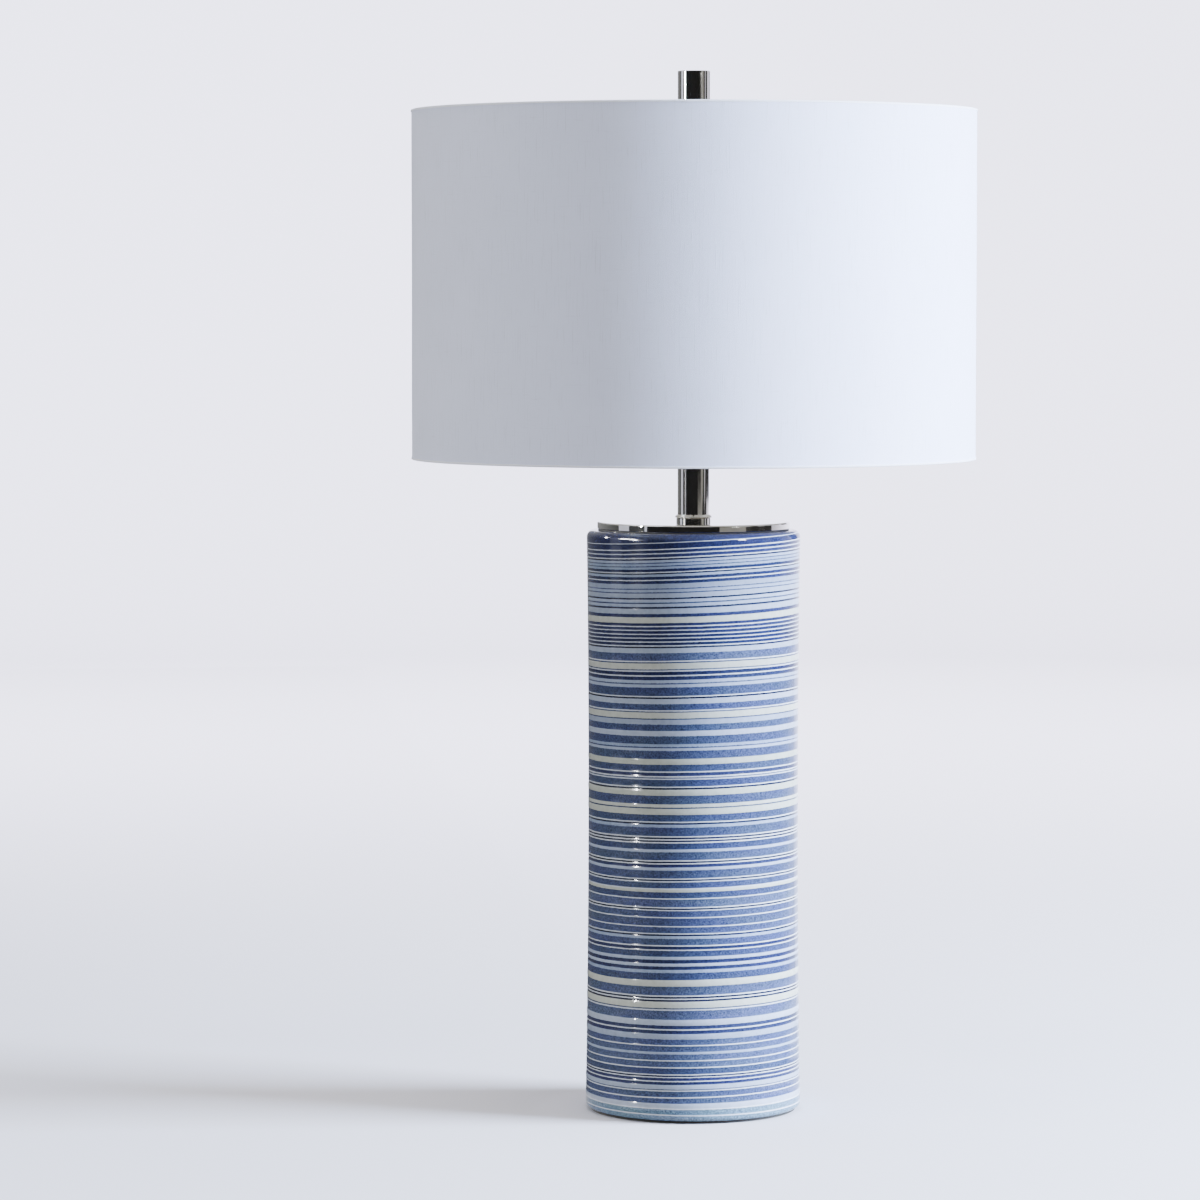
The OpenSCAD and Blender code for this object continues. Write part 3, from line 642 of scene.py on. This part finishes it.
def make_lap():
    """The cover's overlap, a narrow strip that lies on it from rim to rim at the back."""
    width, columns, rows = 12.0, 12, 26
    profile = [(-width / 2, 0.02), (-width / 2 + 0.15, 0.36)]
    profile += [(-width / 2 + width * k / columns, 0.40) for k in range(1, columns)]
    profile += [(width / 2 - 0.15, 0.36), (width / 2, 0.02)]
    z = np.linspace(SHADE_LOW + 1.7, SHADE_TOP - 1.7, rows)
    verts, faces, uvs = [], [], []
    for h in z:
        shift = 0.15 * math.sin(h * 0.06)
        for across, proud in profile + [(width / 2, -0.2), (-width / 2, -0.2)]:
            a = math.pi / 2 + (across + shift) / COVER_R
            r = COVER_R + proud
            verts.append((r * math.cos(a) * MM, r * math.sin(a) * MM, h * MM))
    n = len(profile) + 2
    girth = 2 * math.pi * COVER_R

    def cloth_uv(index):
        x, y, z = verts[index]
        return [0.31 + math.atan2(x, y) * COVER_R / girth, z * 1.7]

    for i in range(rows - 1):
        for j in range(n):
            k = (j + 1) % n
            a, b, c, d = i * n + j, i * n + k, (i + 1) * n + k, (i + 1) * n + j
            faces.append((d, c, b, a))
    for base, order in ((0, 1), ((rows - 1) * n, -1)):
        faces.append([base + j for j in range(n)][::order])
    for face in faces:
        for index in face:
            uvs += cloth_uv(index)
    mesh = bpy.data.meshes.new("cover_lap")
    mesh.from_pydata(verts, [], faces)
    mesh.uv_layers.new(name="turn").data.foreach_set("uv", uvs)
    return add_object("cover_lap", mesh, 40)


cover = make_cover()
finish_with(cover, "linen", "shade")
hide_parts("shade_cover")
lap = finish_with(make_lap(), "linen", "shade")
top_tape = finish_with(make_hem("top_tape", SHADE_TOP, 1), "hem_tape", "shade")
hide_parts("top_hem")
bottom_tape = finish_with(make_hem("bottom_tape", SHADE_LOW, -1), "hem_tape", "shade")
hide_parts("bottom_hem")

# ---------------------------------------------------------------- studio
def plain(name, colour, roughness=0.9):
    s = Shader(name, Roughness=roughness)
    s.to_bsdf("Base Color", colour)
    return s.material


def make_cyclorama():
    """A round floor that curves up into a wall, seen from inside."""
    outline = [(0, 0), (1.0, 0), (2.5, 0), (4.5, 0)]
    outline += [(4.5 + 1.5 * math.sin(t), 1.5 - 1.5 * math.cos(t))
                for t in np.linspace(0.1, math.pi / 2, 14)]
    outline += [(6.0, 3.0), (6.0, 4.5)]
    floor = weld(revolve("studio_floor", [(r * 1000, z * 1000) for r, z in outline], 96, False, 80))
    floor.data.materials.append(plain("studio_white", (0.75, 0.75, 0.85), 0.85))
    return floor


def screen(name, first, last, start, end, colour):
    """A dark screen round the lamp from one angle to another, between two (radius, height) edges.
    It shows only in reflections, as the unlit part of a room does."""
    steps = max(2, int(abs(last - first) / 6))
    verts, faces = [], []
    for k in range(steps + 1):
        angle = first + (last - first) * k / steps
        verts += [around(angle, *start), around(angle, *end)]
        if k:
            n = len(verts)
            faces.append((n - 4, n - 2, n - 1, n - 3))
    mesh = bpy.data.meshes.new(name)
    mesh.from_pydata(verts, [], faces)
    obj = bpy.data.objects.new(name, mesh)
    bpy.context.scene.collection.objects.link(obj)
    mesh.materials.append(plain(name, colour))
    obj.visible_camera = False
    obj.visible_shadow = False
    obj.visible_diffuse = False
    return obj


def around(angle, distance, height):
    """A place by its angle from the camera's side, positive to the right, about the lamp."""
    a = math.radians(angle)
    return Vector((distance * math.sin(a), -distance * math.cos(a), height))


def area_light(name, place, target, width, height, power, colour=(1, 1, 1)):
    light = bpy.data.lights.new(name, "AREA")
    light.shape = "RECTANGLE"
    light.size, light.size_y = width, height
    light.energy = power
    light.color = colour
    obj = bpy.data.objects.new(name, light)
    bpy.context.scene.collection.objects.link(obj)
    obj.location = place
    obj.rotation_euler = (Vector(target) - Vector(place)).to_track_quat("-Z", "Y").to_euler()
    obj.visible_camera = False
    return obj


floor = make_cyclorama()
floor.visible_diffuse = False
# The screens' tones, and the (radius, height) edges that they stand or lie between
BLACK, DIM, GREY = (0.004, 0.004, 0.004), (0.03, 0.03, 0.03), (0.055, 0.055, 0.05)
PALE = (0.4, 0.4, 0.39)
ROUND = 4.3
HIGH, LOW = ((ROUND, 0.26), (ROUND, 3.4)), ((ROUND, 0.0), (ROUND, 0.26))
MIDDLE, WALL = ((ROUND, 0.26), (ROUND, 0.45)), ((ROUND, 0.0), (ROUND, 3.4))
FLOOR_EDGE = (ROUND, 0.003)
screens = [screen("front", -58, 30, *WALL, BLACK), screen("front_high", 30, 46, *HIGH, BLACK),
           screen("front_low", 30, 64, *LOW, PALE), screen("left", -84, -61, *WALL, DIM),
           screen("left_back", -174, -101, *WALL, GREY), screen("right_a", 46, 55, *HIGH, DIM),
           screen("right_b", 55, 72, *HIGH, PALE), screen("right_c", 72, 82, *HIGH, BLACK),
           screen("right_d", 64, 106, *LOW, DIM), screen("right_e", 93, 106, *HIGH, BLACK),
           screen("right_f", 106, 130, *MIDDLE, BLACK), screen("right_g", 130, 150, *HIGH, BLACK),
           screen("floor_a", -174, 60, (0.115, 0.002), FLOOR_EDGE, BLACK),
           screen("floor_b", 60, 112, (0.2, 0.002), FLOOR_EDGE, DIM),
           screen("floor_c", 112, 126, (0.3, 0.002), FLOOR_EDGE, (0.18, 0.18, 0.18)),
           screen("floor_d", 126, 145, (0.3, 0.002), FLOOR_EDGE, (0.4, 0.4, 0.4))]

world = bpy.data.worlds.new("studio")
bpy.context.scene.world = world
world.use_nodes = True
sky = world.node_tree.nodes["Background"]
sky.inputs["Color"].default_value = (1.0, 0.98, 0.95, 1)
sky.inputs["Strength"].default_value = 0.70
key = area_light("key", around(79, 2.6, 0.98), (0, 0, 0.42), 1.3, 1.0, 730, (0.70, 0.81, 1.0))
key.visible_glossy = False
top = area_light("top", (0.2, -0.3, 3.4), (0, 0, 0.4), 2.4, 2.4, 70)
top.visible_glossy = False
fill = area_light("fill", around(-75, 2.6, 0.8), (0, 0, 0.42), 0.8, 0.8, 15, (1.0, 0.95, 0.88))
fill.visible_glossy = False
# Bright windows that show only as glints: on the shoulder, and as dots on the strokes' edges
for name, angle, height, width, power in (
        ("glint_left", -112, 1.16, 0.16, 28), ("glint_front", -77, 1.16, 1.0, 170),
        ("glint_right", 53, 1.16, 0.4, 90), ("dots", -66, 0.68, 0.1, 42)):
    glint = area_light(name, around(angle, 2.6, height), (0, 0, 0.42), width, 0.42, power)
    glint.visible_diffuse = False
area_light("backdrop_left", (-1.6, 2.4, 3.0), (-1.6, 6.0, 0.5), 2.4, 1.2, 420, (0.90, 0.88, 1.0))
area_light("backdrop_right", (1.6, 2.4, 3.0), (1.6, 6.0, 0.5), 2.4, 1.2, 420, (0.90, 0.88, 1.0))
